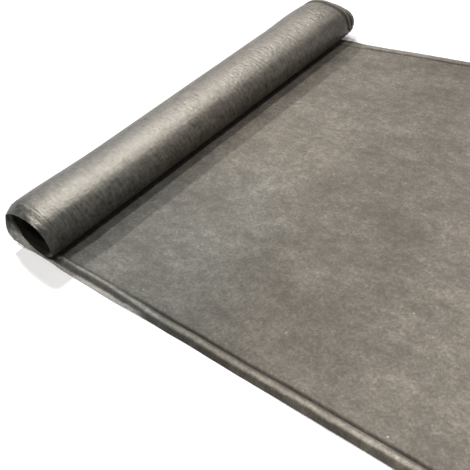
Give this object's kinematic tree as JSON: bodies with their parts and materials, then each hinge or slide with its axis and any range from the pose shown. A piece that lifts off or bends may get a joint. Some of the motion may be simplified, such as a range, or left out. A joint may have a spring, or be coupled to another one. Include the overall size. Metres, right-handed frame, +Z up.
{
  "type": "roll of roofing felt",
  "caption": "Partly unrolled coreless roll of grey-brown non-woven roofing felt with curled long edges, its outer end laid out flat.",
  "frame": {"origin": "under the middle of the whole piece, on the surface it lies on", "axes": "+X along the laid length, away from the roll; +Y along the roll; +Z up"},
  "size_m": [1.1849, 1.018, 0.111],
  "materials": {
    "felt": "soft satin non-woven felt"
  },
  "bodies": {
    "root": {"roofing_felt": "felt"}
  },
  "joints": []
}
